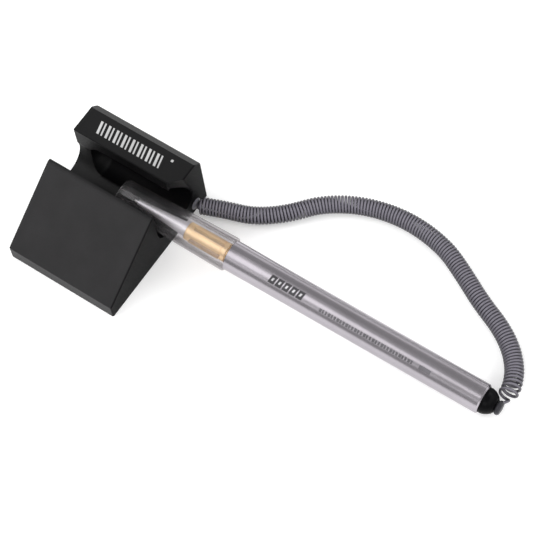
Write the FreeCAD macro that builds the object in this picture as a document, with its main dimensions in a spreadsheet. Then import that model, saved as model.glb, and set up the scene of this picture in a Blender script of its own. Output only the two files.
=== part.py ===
import FreeCAD, Part
import math
import os
import Sketcher

# Counter pen: moulded stand, capped gel pen and curly tether. Millimetres, +Z up.
# The origin is the centre of the adhesive pad's underside. The pen lies along +X.

os.makedirs("parts", exist_ok=True)
doc = FreeCAD.newDocument("CounterPen")
V = FreeCAD.Vector

SIZES = {
    # stand outline
    "stand_half_w": 22.15,
    "stand_half_d": 28.15,
    "stand_h": 26.0,
    "strip_h": 6.5,
    "ridge_front": -0.35,
    "channel_y": 8.0,
    "channel_z": 13.8,
    "channel_r": 7.2,
    "head_front": 14.4,
    "head_back": 24.95,
    "head_drop": 3.5,
    "tunnel_y": 14.45,
    "tunnel_z": 13.5,
    "tunnel_r": 6.5,
    "tunnel_end": -10.75,
    "flare_depth": 4.4,
    "wall": 2.0,
    "channel_floor": 5.0,
    # underside
    "foot": 0.3,
    "pad_t": 0.9,
    "pad_half_w": 18.5,
    "pad_half_d": 25.0,
    "pad_corner": 4.0,
    "cover_t": 1.6,
    "rim": 1.2,
    "fit_gap": 0.1,
    "screw_x": 14.0,
    "screw_front": 20.0,
    "screw_back": 24.0,
    "boss_r": 2.5,
    "pilot_r": 0.95,
    "pilot_top": 8.0,
    "screw_hole_r": 1.35,
    "screw_r": 1.0,
    "screw_len": 6.0,
    "screw_head_r": 2.2,
    "screw_head_t": 1.2,
    "drive_w": 0.6,
    "drive_l": 2.4,
    "drive_t": 0.7,
    # stand end of the cord
    "anchor_y": 21.55,
    "anchor_z": 4.3,
    "anchor_hole_r": 1.35,
    "anchor_stem_r": 1.3,
    "anchor_flange_r": 2.3,
    "anchor_washer_r": 1.65,
    "anchor_pocket_h": 7.0,
    # pen, positions measured along its axis from the closed end of the cap
    "pen_x": 2.05,
    "pen_y": 7.55,
    "pen_z": 14.3,
    "cap_len": 44.8,
    "cap_tip_r": 5.5,
    "cap_mouth_r": 6.3,
    "cap_end_t": 1.4,
    "cap_tip_bore": 4.6,
    "cap_mouth_bore": 5.45,
    "rib_start": 30.5,
    "rib_end": 42.5,
    "rib_r": 3.55,
    "rib_t": 0.6,
    "seal_r": 1.5,
    "seal_end": 4.9,
    "cone_tip": 7.0,
    "cone_base": 27.5,
    "cone_tip_r": 0.95,
    "cone_base_r": 2.6,
    "spigot_end": 33.5,
    "spigot_r": 2.3,
    "collar_end": 43.8,
    "collar_r": 3.45,
    "collar_groove": 41.8,
    "collar_root": 50.5,
    "collar_root_r": 2.85,
    "barrel_start": 44.95,
    "barrel_end": 144.8,
    "barrel_front_r": 5.5,
    "barrel_tail_r": 5.4,
    "barrel_bore": 4.4,
    "barrel_neck": 52.5,
    "needle_tip": 5.4,
    "needle_r": 0.5,
    "needle_mid_r": 0.65,
    "needle_end": 19.5,
    "ball_r": 0.25,
    "refill_start": 25.0,
    "refill_end": 118.0,
    "refill_r": 1.8,
    "refill_bore": 1.4,
    "ink_start": 29.0,
    "ink_end": 98.0,
    "follower_end": 104.0,
    "plug_start": 136.4,
    "plug_pocket": 141.4,
    "plug_end": 149.4,
    "plug_tip_r": 2.9,
    "stem_r": 0.8,
    "stem_start": 139.0,
    "bead_start": 149.55,
    "bead_end": 151.6,
    "bead_r": 2.6,
    "tail_washer_r": 1.9,
    # cord
    "coil_r": 3.15,
}
PEN_YAW = 1.67
PEN_TILT = 3.44

# Points of the coil's axis, from the stand's right end to the pen's tail.
CORD_POINTS = [
    (23.65, 21.55, 4.3), (31.9, 25.2, 3.8), (41.6, 28.1, 3.4), (51.4, 35.4, 3.25),
    (59.5, 45.3, 3.25), (72.6, 52.8, 3.25), (88.2, 55.8, 3.25), (104.3, 53.7, 3.25),
    (115.7, 48.1, 3.25), (126.1, 42.3, 3.25), (136.2, 38.1, 3.25), (143.6, 33.2, 3.25),
    (148.6, 27.6, 3.4), (150.9, 22.8, 4.0), (151.9, 19.6, 4.6), (152.0, 16.9, 4.9),
]

sheet = doc.addObject("Spreadsheet::Sheet", "Sizes")
for row, (alias, size) in enumerate(SIZES.items(), start=1):
    sheet.set(f"A{row}", alias)
    sheet.set(f"B{row}", str(size))
    sheet.setAlias(f"B{row}", alias)
doc.recompute()


def terms(text):
    """Splits "a+2*b-c" into (factor, name) pairs; a plain number is its own factor."""
    pairs = []
    for piece in text.replace("-", "+-").split("+"):
        if not piece:
            continue
        sign = -1.0 if piece.startswith("-") else 1.0
        factor, _, name = piece.lstrip("-").rpartition("*")
        scale = sign * (float(factor) if factor else 1.0)
        if name not in SIZES:
            scale, name = scale * float(name), ""
        pairs.append((scale, name))
    return pairs


def number(text):
    return sum(scale * SIZES.get(name, 1.0) for scale, name in terms(text))


def formula(text):
    parts = [f"{scale} * Sizes.{name}" if name else f"{scale}" for scale, name in terms(text)]
    return " + ".join(parts)


def bind(obj, prop, text):
    obj.setExpression(prop, formula(text))


def body(label):
    made = doc.addObject("PartDesign::Body", label)
    made.Label = label
    return made


def sketch(owner, plane, offset="0"):
    """A sketch on one of the body's own origin planes, moved along its normal by offset."""
    made = owner.newObject("Sketcher::SketchObject", f"{owner.Name}_sketch")
    target = next(item for item in owner.Origin.OriginFeatures if item.Role == plane)
    made.AttachmentSupport = [(target, "")]
    made.MapMode = "FlatFace"
    if offset != "0":
        bind(made, ".AttachmentOffset.Base.z", offset)
    return made


def pin_point(made, geometry, end, across, up):
    """Holds one sketch point at sizes taken from the sheet."""
    for kind, text, axis in (("DistanceX", across, -2), ("DistanceY", up, -1)):
        if abs(number(text)) < 1e-9:
            made.addConstraint(Sketcher.Constraint("PointOnObject", geometry, end, axis))
            continue
        index = made.addConstraint(Sketcher.Constraint(kind, -1, 1, geometry, end, number(text)))
        made.setExpression(f"Constraints[{index}]", formula(text))


def polygon(made, points):
    """A closed outline whose corners are pairs of size formulas."""
    spots = [V(number(across), number(up), 0) for across, up in points]
    first = made.GeometryCount
    count = len(points)
    for i in range(count):
        made.addGeometry(Part.LineSegment(spots[i], spots[(i + 1) % count]), False)
    for i in range(count):
        following = first + (i + 1) % count
        made.addConstraint(Sketcher.Constraint("Coincident", first + i, 2, following, 1))
    for i, (across, up) in enumerate(points):
        pin_point(made, first + i, 1, across, up)


def rectangle(made, low_across, low_up, high_across, high_up):
    corners = [(low_across, low_up), (high_across, low_up), (high_across, high_up), (low_across, high_up)]
    polygon(made, corners)


def circle(made, across, up, radius):
    centre = V(number(across), number(up), 0)
    index = made.addGeometry(Part.Circle(centre, V(0, 0, 1), number(radius)), False)
    limit = made.addConstraint(Sketcher.Constraint("Radius", index, number(radius)))
    made.setExpression(f"Constraints[{limit}]", formula(radius))
    pin_point(made, index, 3, across, up)


def extrude(owner, kind, made, length, both_ways=False, reverse=False):
    feature = owner.newObject(f"PartDesign::{kind}", f"{owner.Name}_{kind.lower()}")
    feature.Profile = made
    bind(feature, "Length", length)
    feature.Midplane = both_ways
    feature.Reversed = reverse
    made.Visibility = False
    doc.recompute()
    return feature


def turned(label, outline):
    """A part turned about its own X axis; the outline's corners are (along, radius)."""
    owner = body(label)
    made = sketch(owner, "XZ_Plane")
    polygon(made, outline)
    feature = owner.newObject("PartDesign::Revolution", f"{label}_turned")
    feature.Profile = made
    feature.ReferenceAxis = (made, ["H_Axis"])
    feature.Angle = 360.0
    made.Visibility = False
    doc.recompute()
    return owner


def edges_of(owner, wanted):
    """Names of the tip's edges whose every sampled point satisfies wanted(point)."""
    names = []
    for i, edge in enumerate(owner.Tip.Shape.Edges, start=1):
        first, last = edge.ParameterRange
        samples = [edge.valueAt(first + (last - first) * part) for part in (0.0, 0.37, 0.5, 0.81, 1.0)]
        if all(wanted(point) for point in samples):
            names.append(f"Edge{i}")
    return names


def soften(owner, kind, size, wanted):
    """Fillet or chamfer on the edges that satisfy wanted(point)."""
    names = edges_of(owner, wanted)
    before = owner.Tip
    feature = owner.newObject(f"PartDesign::{kind}", f"{owner.Name}_{kind.lower()}")
    feature.Base = (before, names)
    if kind == "Fillet":
        feature.Radius = size
    else:
        feature.Size = size
    doc.recompute()
    return feature


def near(value, target):
    return abs(value - target) < 1e-3


def on_pen(owner):
    """Moves a turned part from its own axis onto the pen's."""
    owner.Placement = FreeCAD.Placement(V(0, 0, 0), FreeCAD.Rotation(PEN_YAW, PEN_TILT, 0))
    for axis in "xyz":
        bind(owner, f".Placement.Base.{axis}", f"pen_{axis}")
    return owner


# ---------------------------------------------------------------- stand shell
half_w, half_d = SIZES["stand_half_w"], SIZES["stand_half_d"]
top = SIZES["stand_h"]
shell = body("stand_shell")
outline = sketch(shell, "YZ_Plane")
polygon(outline, [
    ("-stand_half_d", "foot"),
    ("stand_half_d", "foot"),
    ("stand_half_d", "stand_h-head_drop"),
    ("head_back", "stand_h"),
    ("ridge_front", "stand_h"),
    ("-stand_half_d", "strip_h"),
])
extrude(shell, "Pad", outline, "2*stand_half_w", both_ways=True)

# The outline's long edges are rounded before the groove cuts them.
soften(shell, "Fillet", 0.8, lambda p: near(p.y, -half_d) and near(p.z, SIZES["strip_h"]))
soften(shell, "Fillet", 0.6, lambda p: near(p.y, SIZES["ridge_front"]) and near(p.z, top))
soften(shell, "Fillet", 0.6, lambda p: near(abs(p.x), half_w) and (
    near(p.y, -half_d) or near(p.y, half_d)))

channel_round = sketch(shell, "YZ_Plane")
circle(channel_round, "channel_y", "channel_z", "channel_r")
extrude(shell, "Pocket", channel_round, "2*stand_half_w+2", both_ways=True)
channel_open = sketch(shell, "YZ_Plane")
rectangle(channel_open, "channel_y-channel_r", "channel_z", "head_front", "stand_h+1")
extrude(shell, "Pocket", channel_open, "2*stand_half_w+2", both_ways=True)

tunnel = sketch(shell, "YZ_Plane", "stand_half_w+1")
circle(tunnel, "tunnel_y", "tunnel_z", "tunnel_r")
extrude(shell, "Pocket", tunnel, "stand_half_w+1-tunnel_end")
tunnel_end = shell.newObject("PartDesign::SubtractiveSphere", "tunnel_round_end")
bind(tunnel_end, "Radius", "tunnel_r")
tunnel_end.Placement.Base = V(0, 0, 0)
bind(tunnel_end, ".Placement.Base.x", "tunnel_end")
bind(tunnel_end, ".Placement.Base.y", "tunnel_y")
bind(tunnel_end, ".Placement.Base.z", "tunnel_z")
doc.recompute()

soften(shell, "Chamfer", 0.35, lambda p: near(p.z, top) and near(p.y, SIZES["head_front"]))

# Where the pen leaves the stand, the head's front corner and the tunnel's mouth flare out.
flare = sketch(shell, "YZ_Plane", "stand_half_w")
polygon(flare, [
    ("tunnel_y-5", "tunnel_z-4.5"),
    ("tunnel_y+3.6", "tunnel_z-4.5"),
    ("tunnel_y+7.3", "tunnel_z-0.5"),
    ("tunnel_y+2.9", "stand_h+5"),
    ("tunnel_y-5", "stand_h+5"),
])
extrude(shell, "Pocket", flare, "flare_depth").TaperAngle = -45.0
doc.recompute()

# Room under the slope, under the groove and behind the tunnel.
slope_room = sketch(shell, "YZ_Plane")
polygon(slope_room, [
    ("-stand_half_d+wall", "pad_t"),
    ("channel_y-channel_r-wall", "pad_t"),
    ("channel_y-channel_r-wall", "stand_h-2*wall-0.6"),
    ("-stand_half_d+wall", "strip_h-0.6"),
])
extrude(shell, "Pocket", slope_room, "2*stand_half_w-2*wall", both_ways=True)
floor_room = sketch(shell, "YZ_Plane")
rectangle(floor_room, "channel_y-channel_r-wall-1", "pad_t", "stand_half_d-wall", "channel_floor")
extrude(shell, "Pocket", floor_room, "2*stand_half_w-2*wall", both_ways=True)
back_room = sketch(shell, "YZ_Plane")
polygon(back_room, [
    ("tunnel_y+tunnel_r+wall", "channel_floor-1"),
    ("stand_half_d-wall", "channel_floor-1"),
    ("stand_half_d-wall", "stand_h-head_drop-wall"),
    ("tunnel_y+tunnel_r+wall", "stand_h-head_drop-wall+1"),
])
extrude(shell, "Pocket", back_room, "2*stand_half_w-2*wall", both_ways=True)
anchor_room = sketch(shell, "YZ_Plane", "stand_half_w-wall")
rectangle(anchor_room, "anchor_y-2.4", "pad_t", "anchor_y+2.4", "anchor_pocket_h")
extrude(shell, "Pocket", anchor_room, "3")

# Bosses for the four cover screws, then the rebate the cover sits in.
bosses = sketch(shell, "XY_Plane", "pad_t+cover_t")
pilots = sketch(shell, "XY_Plane", "pad_t")
for side in ("screw_x", "-screw_x"):
    for place in ("-screw_front", "screw_back"):
        circle(bosses, side, place, "boss_r")
        circle(pilots, side, place, "pilot_r")
extrude(shell, "Pad", bosses, "pilot_top-0.4")
extrude(shell, "Pocket", pilots, "pilot_top-pad_t", reverse=True)
rebate = sketch(shell, "XY_Plane", "foot")
rectangle(rebate, "-stand_half_w+rim", "-stand_half_d+rim", "stand_half_w-rim", "stand_half_d-rim")
extrude(shell, "Pocket", rebate, "pad_t+cover_t-foot", reverse=True)
anchor_hole = sketch(shell, "YZ_Plane", "stand_half_w+1")
circle(anchor_hole, "anchor_y", "anchor_z", "anchor_hole_r")
extrude(shell, "Pocket", anchor_hole, "wall+2")

# ---------------------------------------------------------------- underside
cover = body("base_cover")
cover_face = sketch(cover, "XY_Plane", "pad_t")
rectangle(cover_face, "-stand_half_w+rim+fit_gap", "-stand_half_d+rim+fit_gap",
          "stand_half_w-rim-fit_gap", "stand_half_d-rim-fit_gap")
extrude(cover, "Pad", cover_face, "cover_t-0.05")
cover_holes = sketch(cover, "XY_Plane", "pad_t")
for side in ("screw_x", "-screw_x"):
    for place in ("-screw_front", "screw_back"):
        circle(cover_holes, side, place, "screw_hole_r")
extrude(cover, "Pocket", cover_holes, "cover_t+1", reverse=True)
soften(cover, "Chamfer", 1.1, lambda p: near(p.z, SIZES["pad_t"]) and any(
    near(math.hypot(p.x - x, p.y - y), SIZES["screw_hole_r"])
    for x in (-SIZES["screw_x"], SIZES["screw_x"])
    for y in (-SIZES["screw_front"], SIZES["screw_back"])))

pad = body("adhesive_pad")
pad_face = sketch(pad, "XY_Plane")
rectangle(pad_face, "-pad_half_w", "-pad_half_d", "pad_half_w", "pad_half_d")
extrude(pad, "Pad", pad_face, "pad_t")
soften(pad, "Fillet", SIZES["pad_corner"], lambda p: near(abs(p.x), SIZES["pad_half_w"]) and near(
    abs(p.y), SIZES["pad_half_d"]))

screws = []
for side, x in (("r", "screw_x"), ("l", "-screw_x")):
    for end, y in (("front", "-screw_front"), ("back", "screw_back")):
        tag = f"{side}_{end}"
        head = doc.addObject("Part::Cone", f"screw_head_{tag}")
        bind(head, "Radius1", "screw_head_r")
        bind(head, "Radius2", "screw_r")
        bind(head, "Height", "screw_head_t")
        shank = doc.addObject("Part::Cylinder", f"screw_shank_{tag}")
        bind(shank, "Radius", "screw_r-0.07")
        bind(shank, "Height", "screw_len")
        drives = []
        for turn in ("a", "b"):
            slot = doc.addObject("Part::Box", f"screw_drive_{turn}_{tag}")
            long_way, short_way = ("Length", "Width") if turn == "a" else ("Width", "Length")
            bind(slot, long_way, "drive_l")
            bind(slot, short_way, "drive_w")
            bind(slot, "Height", "drive_t")
            along, across = ("x", "y") if turn == "a" else ("y", "x")
            centre = {"x": x, "y": y}
            bind(slot, f".Placement.Base.{along}", f"{centre[along]}-0.5*drive_l")
            bind(slot, f".Placement.Base.{across}", f"{centre[across]}-0.5*drive_w")
            bind(slot, ".Placement.Base.z", "pad_t")
            drives.append(slot)
        for solid in (head, shank):
            bind(solid, ".Placement.Base.x", x)
            bind(solid, ".Placement.Base.y", y)
            bind(solid, ".Placement.Base.z", "pad_t+0.05")
        whole = doc.addObject("Part::MultiFuse", f"screw_{tag}")
        whole.Shapes = [head, shank]
        recess = doc.addObject("Part::MultiFuse", f"screw_recess_{tag}")
        recess.Shapes = drives
        cut = doc.addObject("Part::Cut", f"screw_cut_{tag}")
        cut.Base = whole
        cut.Tool = recess
        screws.append(cut)
cover_screws = doc.addObject("Part::Compound", "cover_screws")
cover_screws.Label = "cover_screws"
cover_screws.Links = screws

# ---------------------------------------------------------------- stand end of the cord
anchor_plug = turned("anchor_plug", [
    ("-3", "0"),
    ("-3", "anchor_stem_r"),
    ("fit_gap", "anchor_stem_r"),
    ("fit_gap", "anchor_flange_r"),
    ("0.35", "anchor_flange_r"),
    ("1.25", "0.4"),
    ("1.25", "0"),
])
anchor_washer = turned("anchor_washer", [
    ("-wall-0.9", "anchor_stem_r+0.02"),
    ("-wall-0.9", "anchor_washer_r"),
    ("-wall-0.15", "anchor_washer_r"),
    ("-wall-0.15", "anchor_stem_r+0.02"),
])
for piece in (anchor_plug, anchor_washer):
    bind(piece, ".Placement.Base.x", "stand_half_w")
    bind(piece, ".Placement.Base.y", "anchor_y")
    bind(piece, ".Placement.Base.z", "anchor_z")

# ---------------------------------------------------------------- cap
cap = on_pen(turned("cap", [
    ("0", "0"),
    ("0", "cap_tip_r"),
    ("cap_len", "cap_mouth_r"),
    ("cap_len", "cap_mouth_bore"),
    ("cap_end_t", "cap_tip_bore"),
    ("cap_end_t", "0"),
]))
soften(cap, "Fillet", 1.2, lambda p: near(p.x, 0) and near(
    math.hypot(p.y, p.z), SIZES["cap_tip_r"]))
soften(cap, "Fillet", 0.25, lambda p: near(p.x, SIZES["cap_len"]))
rib_face = sketch(cap, "XZ_Plane")
rectangle(rib_face, "rib_start", "rib_r", "rib_end", "cap_mouth_bore+0.15")
rib = extrude(cap, "Pad", rib_face, "rib_t", both_ways=True)
ribs = cap.newObject("PartDesign::PolarPattern", "cap_ribs")
ribs.Originals = [rib]
ribs.Axis = (rib_face, ["H_Axis"])
ribs.Angle = 360.0
ribs.Occurrences = 6
cap.Tip = ribs
doc.recompute()

nib_seal = on_pen(turned("nib_seal", [
    ("cap_end_t+0.02", "0"),
    ("cap_end_t+0.02", "seal_r"),
    ("seal_end", "seal_r-0.3"),
    ("seal_end", "0.5"),
    ("seal_end-0.5", "0"),
]))

# ---------------------------------------------------------------- front of the pen
nose_cone = on_pen(turned("nose_cone", [
    ("cone_tip", "needle_r+0.1"),
    ("cone_tip", "cone_tip_r"),
    ("cone_base", "cone_base_r"),
    ("cone_base", "spigot_r"),
    ("spigot_end", "spigot_r"),
    ("spigot_end", "refill_r+0.1"),
    ("refill_start-0.35", "refill_r+0.1"),
    ("refill_start-0.35", "1.5"),
    ("20.4", "1.5"),
    ("20.4", "1.35"),
    ("16.6", "1.35"),
    ("16.6", "needle_mid_r+0.1"),
    ("8.8", "needle_mid_r+0.1"),
    ("8.8", "needle_r+0.1"),
]))
collar = on_pen(turned("collar", [
    ("cone_base+0.05", "spigot_r+0.02"),
    ("cone_base+0.05", "collar_r-0.25"),
    ("cone_base+0.35", "collar_r"),
    ("collar_groove", "collar_r"),
    ("collar_groove", "collar_r-0.25"),
    ("collar_groove+0.4", "collar_r-0.25"),
    ("collar_groove+0.4", "collar_r"),
    ("collar_end", "collar_r"),
    ("collar_end", "collar_root_r"),
    ("collar_root", "collar_root_r"),
    ("collar_root", "refill_r+0.2"),
    ("spigot_end+0.1", "refill_r+0.2"),
    ("spigot_end+0.1", "spigot_r+0.02"),
]))
barrel = on_pen(turned("barrel", [
    ("barrel_start", "collar_root_r+0.02"),
    ("barrel_start", "barrel_front_r-0.2"),
    ("barrel_start+0.2", "barrel_front_r"),
    ("barrel_end-0.5", "barrel_tail_r"),
    ("barrel_end", "barrel_tail_r-0.45"),
    ("barrel_end", "barrel_bore"),
    ("barrel_neck", "barrel_bore"),
    ("barrel_neck-1", "collar_root_r+0.02"),
]))

# ---------------------------------------------------------------- refill
nib = on_pen(turned("nib", [
    ("needle_tip+0.4", "0"),
    ("needle_tip+0.4", "ball_r+0.02"),
    ("needle_tip", "ball_r+0.02"),
    ("needle_tip", "needle_r-0.15"),
    ("needle_tip+0.4", "needle_r"),
    ("9", "needle_r"),
    ("9.4", "needle_mid_r"),
    ("needle_end", "needle_mid_r"),
    ("needle_end", "0"),
]))
nib_ball = doc.addObject("Part::Sphere", "nib_ball")
nib_ball.Label = "nib_ball"
bind(nib_ball, "Radius", "ball_r")
pen_frame = barrel.Placement.Rotation
ball_spot = V(SIZES["pen_x"], SIZES["pen_y"], SIZES["pen_z"])
ball_spot += pen_frame.multVec(V(SIZES["needle_tip"] + 0.08, 0, 0))
nib_ball.Placement = FreeCAD.Placement(ball_spot, pen_frame)
tip_holder = on_pen(turned("tip_holder", [
    ("17", "needle_mid_r+0.02"),
    ("17", "1.15"),
    ("17.2", "1.25"),
    ("20.6", "1.25"),
    ("20.8", "1.4"),
    ("refill_start-0.3", "1.4"),
    ("refill_start-0.3", "refill_r"),
    ("refill_start-0.05", "refill_r"),
    ("refill_start-0.05", "refill_bore-0.02"),
    ("ink_start-0.1", "refill_bore-0.02"),
    ("ink_start-0.1", "0.4"),
    ("needle_end+0.05", "0.4"),
    ("needle_end+0.05", "needle_mid_r+0.02"),
]))
refill_tube = on_pen(turned("refill_tube", [
    ("refill_start", "refill_bore"),
    ("refill_start", "refill_r"),
    ("refill_end", "refill_r"),
    ("refill_end", "refill_bore"),
]))
ink_column = on_pen(turned("ink_column", [
    ("ink_start", "0"),
    ("ink_start", "refill_bore-0.02"),
    ("ink_end", "refill_bore-0.02"),
    ("ink_end", "0"),
]))
ink_follower = on_pen(turned("ink_follower", [
    ("ink_end+0.05", "0"),
    ("ink_end+0.05", "refill_bore-0.02"),
    ("follower_end", "refill_bore-0.02"),
    ("follower_end-1", "0"),
]))

# ---------------------------------------------------------------- tail
tail_plug = on_pen(turned("tail_plug", [
    ("plug_start", "2.2"),
    ("plug_start", "barrel_bore-0.02"),
    ("barrel_end+0.05", "barrel_bore-0.02"),
    ("barrel_end+0.05", "barrel_tail_r-0.75"),
    ("barrel_end+0.9", "barrel_tail_r-0.7"),
    ("barrel_end+2.1", "barrel_tail_r-1"),
    ("barrel_end+3.2", "barrel_tail_r-1.6"),
    ("barrel_end+4.1", "plug_tip_r+0.2"),
    ("plug_end", "plug_tip_r-0.5"),
    ("plug_end", "stem_r+0.05"),
    ("plug_pocket", "stem_r+0.05"),
    ("plug_pocket", "2.2"),
]))
swivel_bead = on_pen(turned("swivel_bead", [
    ("stem_start", "0"),
    ("stem_start", "stem_r"),
    ("bead_start", "stem_r"),
    ("bead_start", "bead_r-0.5"),
    ("bead_start+0.45", "bead_r"),
    ("bead_end-0.7", "bead_r"),
    ("bead_end-0.2", "bead_r-0.6"),
    ("bead_end", "0.9"),
    ("bead_end", "0"),
]))
swivel_washer = on_pen(turned("swivel_washer", [
    ("stem_start+0.6", "stem_r+0.02"),
    ("stem_start+0.6", "tail_washer_r"),
    ("plug_pocket-0.2", "tail_washer_r"),
    ("plug_pocket-0.2", "stem_r+0.02"),
]))


# ---------------------------------------------------------------- cord
def smooth_route(points):
    """Straight runs joined by tangent arcs, each 0.45 of its shorter run from the corner."""
    spots = [V(*point) for point in points]
    edges = []
    start = spots[0]
    for before, corner, after in zip(spots, spots[1:], spots[2:]):
        into = (corner - before).normalize()
        out = (after - corner).normalize()
        turn = into.getAngle(out)
        reach = 0.45 * min((corner - before).Length, (after - corner).Length)
        radius = reach / math.tan(turn / 2)
        print(f"cord turn {math.degrees(turn):.1f} deg, radius {radius:.1f} mm")
        first, last = corner - into * reach, corner + out * reach
        inward = (out - into).normalize()
        centre = corner + inward * (radius / math.cos(turn / 2))
        middle = centre - inward * radius
        edges.append(Part.LineSegment(start, first).toShape())
        edges.append(Part.Arc(first, middle, last).toShape())
        start = last
    edges.append(Part.LineSegment(start, spots[-1]).toShape())
    return Part.Wire(edges)


route = smooth_route(CORD_POINTS)
heading = (V(*CORD_POINTS[1]) - V(*CORD_POINTS[0])).normalize()
ring = Part.Wire([Part.Circle(V(*CORD_POINTS[0]), heading, SIZES["coil_r"]).toShape()])
coil_cord = doc.addObject("Part::Feature", "coil_cord")
coil_cord.Label = "coil_cord"
coil_cord.Shape = route.makePipeShell([ring], True, False)
expected = route.Length * math.pi * SIZES["coil_r"] ** 2
print(f"cord length {route.Length:.1f} mm, volume over section times length "
      f"{coil_cord.Shape.Volume / expected:.3f}")

# ---------------------------------------------------------------- check and export
doc.recompute()
PARTS = [
    shell, cover, cover_screws, pad, anchor_plug, anchor_washer, coil_cord, cap, nib_seal,
    nose_cone, collar, barrel, nib, nib_ball, tip_holder, refill_tube, ink_column,
    ink_follower, tail_plug, swivel_bead, swivel_washer,
]
for item in doc.Objects:
    bad = {"Invalid", "Error"} & set(item.State)
    if bad:
        raise RuntimeError(f"{item.Label}: {bad}")
for part in PARTS:
    shape = part.Shape
    if shape.isNull() or not shape.isValid():
        raise RuntimeError(f"{part.Label}: shape is null or not valid")
    print(f"{part.Label}: {len(shape.Solids)} solid, {shape.Volume:.1f} mm3")
    shape.exportStep(f"parts/{part.Label}.step")
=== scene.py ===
import math

import bpy
from mathutils import Matrix, Vector


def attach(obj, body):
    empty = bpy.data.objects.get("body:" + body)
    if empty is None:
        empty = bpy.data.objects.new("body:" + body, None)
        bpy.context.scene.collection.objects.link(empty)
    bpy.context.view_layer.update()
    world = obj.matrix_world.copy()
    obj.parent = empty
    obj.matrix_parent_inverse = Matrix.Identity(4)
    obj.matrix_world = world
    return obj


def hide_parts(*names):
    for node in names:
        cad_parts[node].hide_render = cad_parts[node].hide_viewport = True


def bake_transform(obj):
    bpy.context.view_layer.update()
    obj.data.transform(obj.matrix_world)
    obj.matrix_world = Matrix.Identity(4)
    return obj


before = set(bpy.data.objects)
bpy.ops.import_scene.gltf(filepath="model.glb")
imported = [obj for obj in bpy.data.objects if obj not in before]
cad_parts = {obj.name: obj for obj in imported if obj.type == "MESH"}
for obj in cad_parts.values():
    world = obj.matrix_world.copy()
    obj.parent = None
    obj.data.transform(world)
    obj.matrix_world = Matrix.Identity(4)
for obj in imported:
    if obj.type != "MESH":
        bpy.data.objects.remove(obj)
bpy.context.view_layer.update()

MM = 0.001
scene = bpy.context.scene

# ---------------------------------------------------------------- camera
# Azimuth is measured from straight in front of the stand towards its right end.
CAMERA_AZIMUTH, CAMERA_ELEVATION, CAMERA_ROLL = 43.31, 62.61, -9.90
CAMERA_PLACE = Vector((307.25, -250.85, 707.9)) * MM
LENS, SENSOR_WIDTH = 156.1, 36.0
CLIP_START, CLIP_END = 0.05, 20.0


def camera_axes(azimuth, elevation, roll):
    """The camera's right, up and backward directions, from angles in degrees."""
    az, el, turn = (math.radians(a) for a in (azimuth, elevation, roll))
    back = Vector((math.sin(az) * math.cos(el), -math.cos(az) * math.cos(el), math.sin(el)))
    right = Vector((math.cos(az), math.sin(az), 0.0))
    up = back.cross(right)
    tilted_right = right * math.cos(turn) + up * math.sin(turn)
    tilted_up = up * math.cos(turn) - right * math.sin(turn)
    return tilted_right, tilted_up, back


camera = bpy.data.objects.new("camera", bpy.data.cameras.new("camera"))
scene.collection.objects.link(camera)
turned = Matrix(camera_axes(CAMERA_AZIMUTH, CAMERA_ELEVATION, CAMERA_ROLL)).transposed()
camera.matrix_world = Matrix.Translation(CAMERA_PLACE) @ turned.to_4x4()
camera.data.lens = LENS
camera.data.sensor_width = SENSOR_WIDTH
camera.data.clip_start = CLIP_START
camera.data.clip_end = CLIP_END
scene.camera = camera


# ---------------------------------------------------------------- meshes
def mesh_object(name, verts, faces, smooth=True):
    mesh = bpy.data.meshes.new(name)
    mesh.from_pydata(verts, [], faces)
    mesh.update()
    if smooth:
        mesh.polygons.foreach_set("use_smooth", [True] * len(mesh.polygons))
    made = bpy.data.objects.new(name, mesh)
    scene.collection.objects.link(made)
    return made


def frames_along(points):
    """Direction and two side vectors at each point, carried along without twist."""
    last = len(points) - 1
    ahead = [(points[min(i + 1, last)] - points[max(i - 1, 0)]).normalized()
             for i in range(len(points))]
    side = ahead[0].cross(Vector((0, 0, 1))).normalized()
    found = []
    for direction in ahead:
        side = (side - direction * side.dot(direction)).normalized()
        found.append((direction, side, direction.cross(side)))
    return found


def on_circle(centre, side, up, radius, angle):
    return centre + side * (radius * math.cos(angle)) + up * (radius * math.sin(angle))


def tube(name, points, radius, sides):
    """A closed tube along the points, with flat ends."""
    verts, faces = [], []
    for point, (_, side, up) in zip(points, frames_along(points)):
        for k in range(sides):
            verts.append(on_circle(point, side, up, radius, 2 * math.pi * k / sides))
    for i in range(len(points) - 1):
        for k in range(sides):
            a, b = i * sides + k, i * sides + (k + 1) % sides
            faces.append((a, b, b + sides, a + sides))
    last = (len(points) - 1) * sides
    faces.append(tuple(reversed(range(sides))))
    faces.append(tuple(last + k for k in range(sides)))
    return mesh_object(name, verts, faces)


# ---------------------------------------------------------------- curly cord
# The route's control points in millimetres, from the stand's end face to the pen's tail.
CORD_POINTS = [
    (23.65, 21.55, 4.3), (31.9, 25.2, 3.8), (41.6, 28.1, 3.5), (51.4, 35.4, 3.42),
    (59.5, 45.3, 3.42), (72.6, 52.8, 3.42), (88.2, 55.8, 3.42), (104.3, 53.7, 3.42),
    (115.7, 48.1, 3.42), (126.1, 42.3, 3.42), (136.2, 38.1, 3.42), (143.6, 33.2, 3.42),
    (148.6, 27.6, 3.5), (150.9, 22.8, 4.0), (151.9, 19.6, 4.6), (152.0, 16.9, 4.9),
]
ROUTE_RESOLUTION = 24
# Radius of the coil, from its axis to the middle of the wire, at the stand and at the pen.
COIL_START_R, COIL_END_R = 2.70 * MM, 2.88 * MM
WIRE_R, WIRE_SIDES = 0.52 * MM, 8
# Spacing of the turns, then how far they open before the pen, over what length and how fast.
PITCH, OPEN_PITCH, OPEN_LENGTH, OPEN_POWER = 1.14 * MM, 2.7 * MM, 10.0 * MM, 1.5
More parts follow.
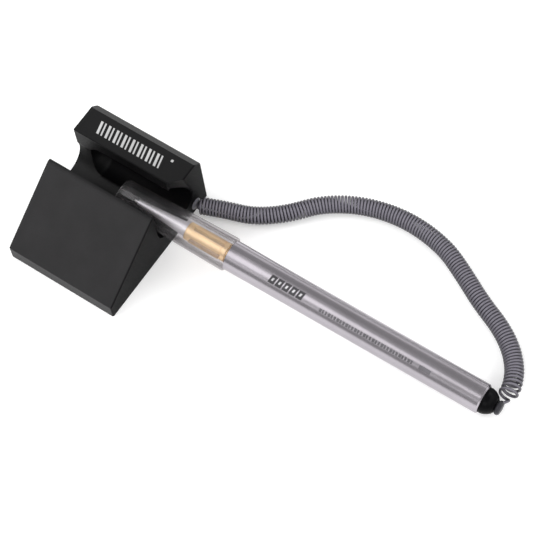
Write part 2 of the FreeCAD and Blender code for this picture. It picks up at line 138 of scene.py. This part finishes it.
# At the stand the coil narrows to this share of its radius. At the pen it narrows less, and keeps
# this much of the difference.
END_SHARE, KEPT_AT_PEN = 0.35, 0.4
STEP = 0.05 * MM
# Where the wire goes into the anchor plug and into the swivel bead, and which way it leans.
PLUG_TIP, PLUG_LEAN = Vector((23.3, 21.55, 4.3)) * MM, Vector((2, 0, 0)) * MM
BEAD_SIDE, BEAD_LEAN = Vector((152.6, 13.2, 6.2)) * MM, Vector((0, -3, -1)) * MM
LEAN_IN, LEAN_OUT = 2 * MM, 4 * MM
# The wire's direction at the helix's ends is taken over this many steps.
LEAN_STEPS = 4

route_curve = bpy.data.curves.new("cord_route", "CURVE")
route_curve.dimensions = "3D"
route_curve.resolution_u = ROUTE_RESOLUTION
route_spline = route_curve.splines.new("NURBS")
route_spline.points.add(len(CORD_POINTS) - 1)
for control, (x, y, z) in zip(route_spline.points, CORD_POINTS):
    control.co = (x * MM, y * MM, z * MM, 1.0)
route_spline.order_u = 3
route_spline.use_endpoint_u = True
route_object = bpy.data.objects.new("cord_route", route_curve)
scene.collection.objects.link(route_object)
bpy.context.view_layer.update()
route_mesh = bpy.data.meshes.new_from_object(route_object)
route = [v.co.copy() for v in route_mesh.vertices]
bpy.data.objects.remove(route_object)


def evenly_spaced(points, step):
    """The same line with points a step apart, and its length."""
    lengths = [0.0]
    for a, b in zip(points, points[1:]):
        lengths.append(lengths[-1] + (b - a).length)
    total = lengths[-1]
    count = max(2, round(total / step))
    found, j = [], 0
    for i in range(count + 1):
        target = total * i / count
        while j < len(points) - 2 and lengths[j + 1] < target:
            j += 1
        share = (target - lengths[j]) / max(lengths[j + 1] - lengths[j], 1e-9)
        found.append(points[j].lerp(points[j + 1], min(max(share, 0.0), 1.0)))
    return found, total


line, cord_length = evenly_spaced(route, STEP)
helix = []
angle = 0.0
for i, (point, (_, side, up)) in enumerate(zip(line, frames_along(line))):
    left = cord_length - i * STEP
    opening = 1.0 - min(left / OPEN_LENGTH, 1.0)
    angle += 2 * math.pi * STEP / (PITCH + (OPEN_PITCH - PITCH) * opening ** OPEN_POWER)
    reach = COIL_START_R + (COIL_END_R - COIL_START_R) * i / len(line)
    narrowing = min(1.0, i * STEP / PITCH, left / PITCH + KEPT_AT_PEN)
    reach *= END_SHARE + (1 - END_SHARE) * narrowing
    helix.append(on_circle(point, side, up, reach, angle))


def bridge(a, lean_a, b, lean_b, count=14):
    """Smooth line from a to b that leaves along lean_a and arrives along lean_b."""
    spots = []
    for i in range(count + 1):
        t = i / count
        spots.append(a * ((1 + 2 * t) * (1 - t) ** 2) + lean_a * (t * (1 - t) ** 2)
                     + b * (t * t * (3 - 2 * t)) + lean_b * (t * t * (t - 1)))
    return spots


start_lean = (helix[LEAN_STEPS] - helix[0]).normalized() * LEAN_IN
end_lean = (helix[-1] - helix[-1 - LEAN_STEPS]).normalized() * LEAN_OUT
lead_in = bridge(PLUG_TIP, PLUG_LEAN, helix[0], start_lean)
lead_out = bridge(helix[-1], end_lean, BEAD_SIDE, BEAD_LEAN)
curly_cord = tube("curly_cord", lead_in[:-1] + helix + lead_out[1:], WIRE_R, WIRE_SIDES)
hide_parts("coil_cord")
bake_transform(curly_cord)


# ---------------------------------------------------------------- materials
class Shading:
    """A node material with short ways to add nodes and wires."""

    def __init__(self, name):
        self.material = bpy.data.materials.new(name)
        self.material.use_nodes = True
        tree = self.material.node_tree
        self.nodes, self.links = tree.nodes, tree.links
        self.nodes.clear()
        self.out = self.nodes.new("ShaderNodeOutputMaterial")

    def feed(self, socket, value):
        """Gives a socket a plain value or wires another node's output to it."""
        if hasattr(value, "is_output"):
            self.links.new(value, socket)
        else:
            socket.default_value = value

    def add(self, kind, **values):
        """A node; values go to its sockets, names starting with set_ to its settings."""
        node = self.nodes.new(f"ShaderNode{kind}")
        for key, value in values.items():
            if key.startswith("set_"):
                setattr(node, key[4:], value)
            else:
                self.feed(node.inputs[key.replace("_", " ")], value)
        return node

    def place(self, kind="Object"):
        return self.add("TexCoord").outputs[kind]

    def noise(self, scale, detail=3.0, where=None):
        where = where or self.place()
        return self.add("TexNoise", Vector=where, Scale=scale, Detail=detail).outputs["Fac"]

    def ramp(self, factor, low, high, start=0.3, end=0.7):
        """Linear change from one value or colour to another."""
        node = self.add("ValToRGB", Fac=factor)
        for stop, spot, value in zip(node.color_ramp.elements, (start, end), (low, high)):
            stop.position = spot
            stop.color = (*(value if isinstance(value, tuple) else (value,) * 3), 1.0)
        return node.outputs["Color"]

    def fade(self, value, start, end, low=0.0, high=1.0):
        """low up to start, high beyond end."""
        return self.add("MapRange", Value=value, From_Min=start, From_Max=end,
                        To_Min=low, To_Max=high).outputs["Result"]

    def arithmetic(self, operation, *values):
        """The result of one arithmetic operation."""
        node = self.add("Math", set_operation=operation)
        for socket, value in zip(node.inputs, values):
            self.feed(socket, value)
        return node.outputs["Value"]

    def vector_math(self, operation, vector, other, result):
        """The result of one vector operation with a fixed second vector."""
        node = self.add("VectorMath", set_operation=operation, Vector=vector)
        node.inputs[1].default_value = other
        return node.outputs[result]

    def mixed(self, kind, factor, first, second):
        """Goes from first to second, both numbers (FLOAT) or both colours (RGBA)."""
        node = self.add("Mix", set_data_type=kind, Factor=factor)
        first_socket, result = {"FLOAT": (2, 0), "RGBA": (6, 2)}[kind]
        self.feed(node.inputs[first_socket], first)
        self.feed(node.inputs[first_socket + 1], second)
        return node.outputs[result]

    def layered(self, factor, under, over):
        """One shader over another."""
        node = self.add("MixShader", Fac=factor)
        self.links.new(under, node.inputs[1])
        self.links.new(over, node.inputs[2])
        return node.outputs["Shader"]

    def bump(self, height, distance):
        return self.add("Bump", Height=height, Distance=distance, Strength=1.0).outputs["Normal"]

    def finish(self, shader):
        self.links.new(shader, self.out.inputs["Surface"])
        return self.material

    def principled(self, **values):
        return self.finish(self.add("BsdfPrincipled", **values).outputs["BSDF"])


def tinted(colour, factor):
    return tuple(c * factor for c in colour)


# Scale and detail of the grain of a moulded surface, and of its slow changes in colour.
GRAIN, GRAIN_DETAIL = 2600.0, 2.0
BROAD, BROAD_DETAIL = 90.0, 4.0
GRAIN_DEPTH = 0.00002
ROUGHNESS_SWING = 0.05


def moulded(name, colour, roughness, grain=GRAIN, depth=GRAIN_DEPTH, spread=0.12, **extra):
    """Moulded plastic or painted surface: fine grain, slightly uneven colour and sheen."""
    made = Shading(name)
    where = made.place()
    broad = made.noise(BROAD, BROAD_DETAIL, where)
    fine = made.noise(grain, GRAIN_DETAIL, where)
    return made.principled(
        Base_Color=made.ramp(broad, tinted(colour, 1 - spread), tinted(colour, 1 + spread)),
        Roughness=made.ramp(fine, roughness - ROUGHNESS_SWING, roughness + ROUGHNESS_SWING),
        Normal=made.bump(fine, depth), **extra)


# The marks' pattern is stretched across the piece, so that they run round it.
BRUSH_STRETCH = (1.0, 0.05, 0.05)
CLOUD, CLOUD_SPREAD = 60.0, 0.06


def brushed(name, colour, roughness, lines=1500.0, depth=0.0000003, spread=0.02):
    """Metal or metallic paint with fine marks running round a piece turned about its X axis."""
    made = Shading(name)
    stretch = made.add("Mapping", Vector=made.place(), Scale=BRUSH_STRETCH)
    marks = made.noise(lines, 2.0, stretch.outputs["Vector"])
    cloud = made.noise(CLOUD)
    relief = {"Normal": made.bump(marks, depth)} if depth else {}
    darker, lighter = tinted(colour, 1 - CLOUD_SPREAD), tinted(colour, 1 + CLOUD_SPREAD)
    return made.principled(
        Metallic=1.0, Base_Color=made.ramp(cloud, darker, lighter),
        Roughness=made.ramp(marks, roughness - spread, roughness + spread), **relief)


STREAKS, STREAK_STOPS = 140.0, (0.35, 0.65)
CLEAR_ROUGHNESS = (0.16, 0.21)
CLEAR_HAZE, HAZE_COLOUR = (0.010, 0.022), (0.75, 0.74, 0.76, 1.0)


def clear_plastic(name, colour, edge_colour):
    """Thin-walled clear moulding: what is behind shows through, a little darker at the edges."""
    made = Shading(name)
    facing = made.add("LayerWeight", Blend=0.5).outputs["Facing"]
    streaks = made.noise(STREAKS)
    clear = made.add("BsdfTransparent", Color=made.ramp(facing, colour, edge_colour, 0.05, 0.5))
    milky = made.add("BsdfDiffuse", Color=HAZE_COLOUR)
    gloss = made.add("BsdfGlossy", Roughness=made.ramp(streaks, *CLEAR_ROUGHNESS, *STREAK_STOPS))
    wall = made.layered(made.ramp(streaks, *CLEAR_HAZE, *STREAK_STOPS),
                        clear.outputs["BSDF"], milky.outputs["BSDF"])
    edge = made.ramp(made.add("Fresnel", IOR=1.45).outputs["Fac"], 0.0, 0.6, 0.0, 0.7)
    return made.finish(made.layered(edge, wall, gloss.outputs["BSDF"]))


# In metres: the tunnel, and where the painted shade sets in at its mouth, at the stand's end
# faces and at the front of the head.
TUNNEL_Y, TUNNEL_Z, TUNNEL_R, TUNNEL_EDGE = 0.01445, 0.0135, 0.00655, 0.0006
TUNNEL_SHADE_FADE = (-0.0118, -0.0108)
END_SHADE_FADE = (0.0216, 0.0220)
HEAD_SHADE_FADE = (-0.0012, 0.0008)
# How much the stand's surfaces reflect. The lower sheen on the head, on the end faces and in the
# tunnel is painted shade.
SLOPE_SHEEN, HEAD_SHADED_SHEEN, TUNNEL_SHADED_SHEEN, END_SHADED_SHEEN_SHARE = 0.23, 0.18, 0.03, 0.3


def stand_plastic():
    """Black moulding, satin on the slope. The head and end faces are painted darker with less
    sheen, and the tunnel's sheen is nearly taken away, all as painted shade.
    """
    made = Shading("stand_black")
    where = made.place()
    xyz = made.add("SeparateXYZ", Vector=where).outputs
    cross_section = made.vector_math("MULTIPLY", where, (0, 1, 1), "Vector")
    from_axis = made.vector_math("DISTANCE", cross_section, (0, TUNNEL_Y, TUNNEL_Z), "Value")
    near_axis = made.fade(from_axis, TUNNEL_R, TUNNEL_R + TUNNEL_EDGE, 1.0, 0.0)
    # Painted shade: inside the tunnel the sheen is nearly taken away, so the hollow looks shaded.
    tunnel_shade_mask = made.arithmetic("MULTIPLY", near_axis, made.fade(xyz["X"], *TUNNEL_SHADE_FADE))
    ends_shade_mask = made.fade(made.arithmetic("ABSOLUTE", xyz["X"]), *END_SHADE_FADE)
    # Painted shade: the head and the end faces get a darker colour and less sheen than the slope.
    dark = made.arithmetic("MAXIMUM", made.fade(xyz["Y"], *HEAD_SHADE_FADE), ends_shade_mask)
    fine = made.noise(GRAIN, GRAIN_DETAIL, where)
    broad = made.noise(BROAD, BROAD_DETAIL, where)
    slope_colour = made.ramp(broad, (0.0105, 0.0100, 0.0108), (0.0150, 0.0143, 0.0154))
    # Painted shade: the darker colour given to the head and the end faces.
    head_shaded_colour = made.ramp(broad, (0.0020, 0.0020, 0.0023), (0.0034, 0.0033, 0.0037))
    outer_sheen = made.ramp(dark, SLOPE_SHEEN, HEAD_SHADED_SHEEN, 0.0, 1.0)
    sheen = made.mixed("FLOAT", tunnel_shade_mask, outer_sheen, TUNNEL_SHADED_SHEEN)
    end_sheen_shade = made.ramp(ends_shade_mask, 1.0, END_SHADED_SHEEN_SHARE, 0.0, 1.0)
    return made.principled(
        Base_Color=made.mixed("RGBA", dark, slope_colour, head_shaded_colour),
        Specular_IOR_Level=made.arithmetic("MULTIPLY", sheen, end_sheen_shade),
        Roughness=made.ramp(fine, 0.5 - ROUGHNESS_SWING, 0.5 + ROUGHNESS_SWING),
        Normal=made.bump(fine, GRAIN_DEPTH))


# Painted light and shade: the cord's wire is painted brightest where it faces this way, which is
# towards the camera, and darkest on the flanks of each turn.
PAINTED_LIGHT_SIDE = (0.316, -0.335, 0.888)


def smoky_wire():
    """Dark wire with painted light and shade: each turn is painted brighter on its side towards
    the camera and darker on its flanks, standing in for light coming through the wire.
    """
    made = Shading("cord_smoky")
    fine = made.noise(1800.0, GRAIN_DETAIL)
    # Painted light: the wire's colour goes from near black to grey as its surface turns towards
    # the camera.
    facing = made.vector_math("DOT_PRODUCT", made.place("Normal"), PAINTED_LIGHT_SIDE, "Value")
    return made.principled(
        Base_Color=made.ramp(facing, (0.014, 0.013, 0.018), (0.170, 0.161, 0.190), 0.2, 0.95),
        Specular_IOR_Level=0.25, Roughness=made.ramp(fine, 0.22, 0.32),
        Normal=made.bump(fine, 0.000006))


def paint(node, material):
    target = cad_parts[node]
    if not target.material_slots:
        target.data.materials.append(material)
    for slot in target.material_slots:
        slot.material = material


FINISHES = {
    "stand_shell": stand_plastic(),
    "base_cover": moulded("cover_black", (0.012, 0.012, 0.013), 0.6),
    "cover_screws": brushed("screw_steel", (0.5, 0.5, 0.52), 0.35),
    "adhesive_pad": moulded("foam_pad", (0.75, 0.74, 0.70), 0.9, grain=1500.0, depth=0.0002),
    "anchor_plug": moulded("smoky_plastic", (0.14, 0.138, 0.155), 0.3, depth=0.000005),
    "anchor_washer": brushed("washer_steel", (0.55, 0.55, 0.56), 0.35),
    "cap": clear_plastic("smoky_clear", (0.95, 0.94, 0.95), (0.80, 0.78, 0.79)),
    "nib_seal": moulded("soft_seal", (0.02, 0.02, 0.022), 0.5, depth=0.000005,
                        Specular_IOR_Level=0.2),
    "nose_cone": moulded("cone_silver", (0.95, 0.95, 0.97), 0.48, depth=0.000004, spread=0.03,
                         Metallic=0.75),
    "collar": moulded("collar_gold", (0.98, 0.72, 0.40), 0.38, depth=0.000004, spread=0.05,
                      Metallic=0.8),
    "barrel": brushed("barrel_silver", (0.39, 0.367, 0.396), 0.26, lines=300.0, depth=0.0,
                      spread=0.004),
    "nib": brushed("needle_steel", (0.7, 0.7, 0.7), 0.3),
    "nib_ball": brushed("ball_carbide", (0.35, 0.35, 0.36), 0.2),
    "tip_holder": moulded("holder_plastic", (0.8, 0.8, 0.79), 0.4, depth=0.000005),
    "refill_tube": moulded("refill_plastic", (0.82, 0.82, 0.80), 0.3, depth=0.000005),
    "ink_column": moulded("ink_black", (0.015, 0.015, 0.02), 0.2, depth=0.000003),
    "ink_follower": moulded("follower_grease", (0.75, 0.70, 0.52), 0.4, depth=0.000005),
    "tail_plug": moulded("plug_black", (0.002, 0.002, 0.0024), 0.35, depth=0.000002,
                         Specular_IOR_Level=0.05),
    "swivel_bead": moulded("bead_smoky", (0.030, 0.029, 0.034), 0.3, depth=0.000003,
                           Specular_IOR_Level=0.2),
    "swivel_washer": brushed("tail_washer_steel", (0.55, 0.55, 0.56), 0.35),
}
for node, material in FINISHES.items():
    paint(node, material)
curly_cord.data.materials.append(smoky_wire())

# ---------------------------------------------------------------- printed marks, in millimetres
HEAD_TOP = 26.0
# The cap's closed end, and the pen's direction from there to its tail.
PEN_START = Vector((2.05, 7.55, 14.3))
PEN_AHEAD = Vector((0.997774, 0.029090, -0.060003))
PEN_LEFT = Vector((0, 0, 1)).cross(PEN_AHEAD).normalized()
PEN_UP = PEN_AHEAD.cross(PEN_LEFT)
# The surface that the barrel's prints lie on: it starts about this far along the pen and gets a
# little thinner towards the tail.
BARREL_START, BARREL_LENGTH = 45.0, 99.8
BARREL_FRONT_R, BARREL_TAPER = 5.5, 0.1
# How far a print reaches into the surface and stands proud of it, alone and on another print.
PRINT_SINK, PRINT_RISE, TOP_PRINT_RISE = 0.02, 0.03, 0.05


def slab(place, low, high, slant, rise, steps):
    """A thin block on a surface: place(along, across, lift) gives its points in millimetres."""
    verts, faces = [], []
    for i in range(steps + 1):
        share = i / steps
        across = low[1] + (high[1] - low[1]) * share
        for along in (low[0], high[0]):
            for lift in (-PRINT_SINK, rise):
                verts.append(place(along + slant * share, across, lift) * MM)
    for i in range(steps):
        a, b = 4 * i, 4 * i + 4
        faces += [(a + 1, a + 3, b + 3, b + 1), (a, b, b + 2, a + 2),
                  (a, a + 1, b + 1, b), (a + 2, b + 2, b + 3, a + 3)]
    last = 4 * steps
    faces += [(0, 2, 3, 1), (last, last + 1, last + 3, last + 2)]
    return verts, faces


def print_marks(name, place, blocks, steps, material, body, rise=PRINT_RISE):
    """One printed piece made of several thin blocks, each (low corner, high corner, slant)."""
    verts, faces = [], []
    for low, high, slant in blocks:
        more_verts, more_faces = slab(place, low, high, slant, rise, steps)
        faces += [tuple(v + len(verts) for v in face) for face in more_faces]
        verts += more_verts
    made = mesh_object(name, verts, faces, smooth=False)
    made.data.materials.append(material)
    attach(made, body)


def on_head(along, across, lift):
    return Vector((along, across, HEAD_TOP + lift))


def on_barrel(along, across, lift):
    """across is measured round the barrel from its top towards the front."""
    radius = BARREL_FRONT_R - BARREL_TAPER * (along - BARREL_START) / BARREL_LENGTH
    angle = across / radius
    outward = PEN_UP * math.cos(angle) - PEN_LEFT * math.sin(angle)
    return PEN_START + PEN_AHEAD * along + outward * (radius + lift)


def row(low, high, slant, spacing, count):
    """The same block repeated along a surface."""
    return [((low[0] + spacing * i, low[1]), (high[0] + spacing * i, high[1]), slant)
            for i in range(count)]


def ink(name, colour, roughness, spread):
    return moulded(name, colour, roughness, grain=3000.0, depth=0.000004, spread=spread)


# Wide and narrow bars by turns, then a dot.
BAR_COUNT, BAR_SPACING, BAR_SLANT, BAR_FRONT, BAR_BACK = 8, 3.45, -1.2, 17.4, 22.3
head_blocks = [((14.2, 21.9), (15.1, 22.8), 0.0)]
for start, end in ((-14.3, -13.35), (-12.55, -11.95)):
    head_blocks += row((start, BAR_FRONT), (end, BAR_BACK), BAR_SLANT, BAR_SPACING, BAR_COUNT)
print_marks("head_print", on_head, head_blocks, 1,
            ink("print_white", (0.43, 0.43, 0.43), 0.5, 0.2), "stand")

# Dark blocks, each with a pale inset.
BLOCK_SPACING, BLOCK_COUNT = 2.75, 5
dark_blocks = row((62.6, 0.7), (64.9, 3.7), -0.5, BLOCK_SPACING, BLOCK_COUNT)
insets = row((63.3, 1.6), (64.0, 2.7), -0.3, BLOCK_SPACING, BLOCK_COUNT)
print_marks("barrel_print", on_barrel, dark_blocks, 6,
            ink("print_dark", (0.035, 0.033, 0.038), 0.45, 0.3), "pen")
print_marks("barrel_print_insets", on_barrel, insets, 4,
            ink("print_pale", (0.55, 0.54, 0.56), 0.45, 0.2), "pen", TOP_PRINT_RISE)

# A row of fine dashes, every third one a little longer, then one long one.
DASH_COUNT, FIRST_DASH, DASH_SPACING, DASH_LENGTH, LONGER_BY = 32, 82.5, 1.15, 0.65, 0.25
dashes = []
for i in range(DASH_COUNT):
    start = FIRST_DASH + DASH_SPACING * i
    dashes += [((start, 2.6), (start + DASH_LENGTH + LONGER_BY * (i % 3 == 0), 3.9), 0.0)]
dashes += [((121.4, 2.5), (125.8, 4.1), 0.0)]
print_marks("barrel_fine_print", on_barrel, dashes, 3,
            ink("print_grey", (0.10, 0.095, 0.105), 0.45, 0.4), "pen")

# ---------------------------------------------------------------- floor and light
FLOOR_HALF = 4
WHITE = (1.0, 1.0, 1.0, 1.0)
floor = mesh_object("floor", [(-FLOOR_HALF, -FLOOR_HALF, 0), (FLOOR_HALF, -FLOOR_HALF, 0),
                              (FLOOR_HALF, FLOOR_HALF, 0), (-FLOOR_HALF, FLOOR_HALF, 0)],
                    [(0, 1, 2, 3)], smooth=False)
# The floor's own faint light thins the shadows.
floor.data.materials.append(moulded("floor_white", (0.9, 0.9, 0.9), 0.9, grain=400.0,
                                    depth=0.00001, spread=0.005, Emission_Color=WHITE,
                                    Emission_Strength=0.25))

world = bpy.data.worlds.new("studio")
scene.world = world
world.use_nodes = True
sky = world.node_tree.nodes["Background"].inputs
sky["Color"].default_value = WHITE
sky["Strength"].default_value = 0.40

LIGHT_TARGET = Vector((0.06, 0.01, 0.0))
LIGHT_DISTANCE = 1.3


def softbox(name, direction, size, radiance):
    """A white light of the given radiance that shines on the pen from a direction."""
    lamp = bpy.data.lights.new(name, "AREA")
    lamp.shape = "RECTANGLE"
    lamp.size, lamp.size_y = size
    lamp.energy = radiance * math.pi * size[0] * size[1]
    made = bpy.data.objects.new(name, lamp)
    made.location = LIGHT_TARGET + Vector(direction).normalized() * LIGHT_DISTANCE
    made.rotation_euler = (LIGHT_TARGET - made.location).to_track_quat("-Z", "Y").to_euler()
    scene.collection.objects.link(made)


softbox("key_light", (-0.38, -0.32, 0.87), (0.95, 0.95), 1.7)
softbox("slope_light", (-0.32, -0.76, 0.58), (0.8, 0.35), 0.75)
softbox("back_card", (-0.30, 0.88, 0.36), (0.9, 0.45), 0.7)
# A ring of low lights: x and y of each direction, and the radiance.
FILL_HEIGHT = 0.62
FILL_LIGHTS = ((0.80, -0.45, 2.2), (0.85, 0.05, 1.8), (0.80, 0.50, 2.2), (0.45, 0.85, 4.5),
               (-0.85, 0.35, 4.0), (-0.85, -0.45, 4.0), (0.45, -0.85, 3.6))
for number, (x, y, radiance) in enumerate(FILL_LIGHTS):
    softbox(f"fill_light_{number}", (x, y, FILL_HEIGHT), (0.6, 0.6), radiance)
scene.view_settings.view_transform = "Standard"
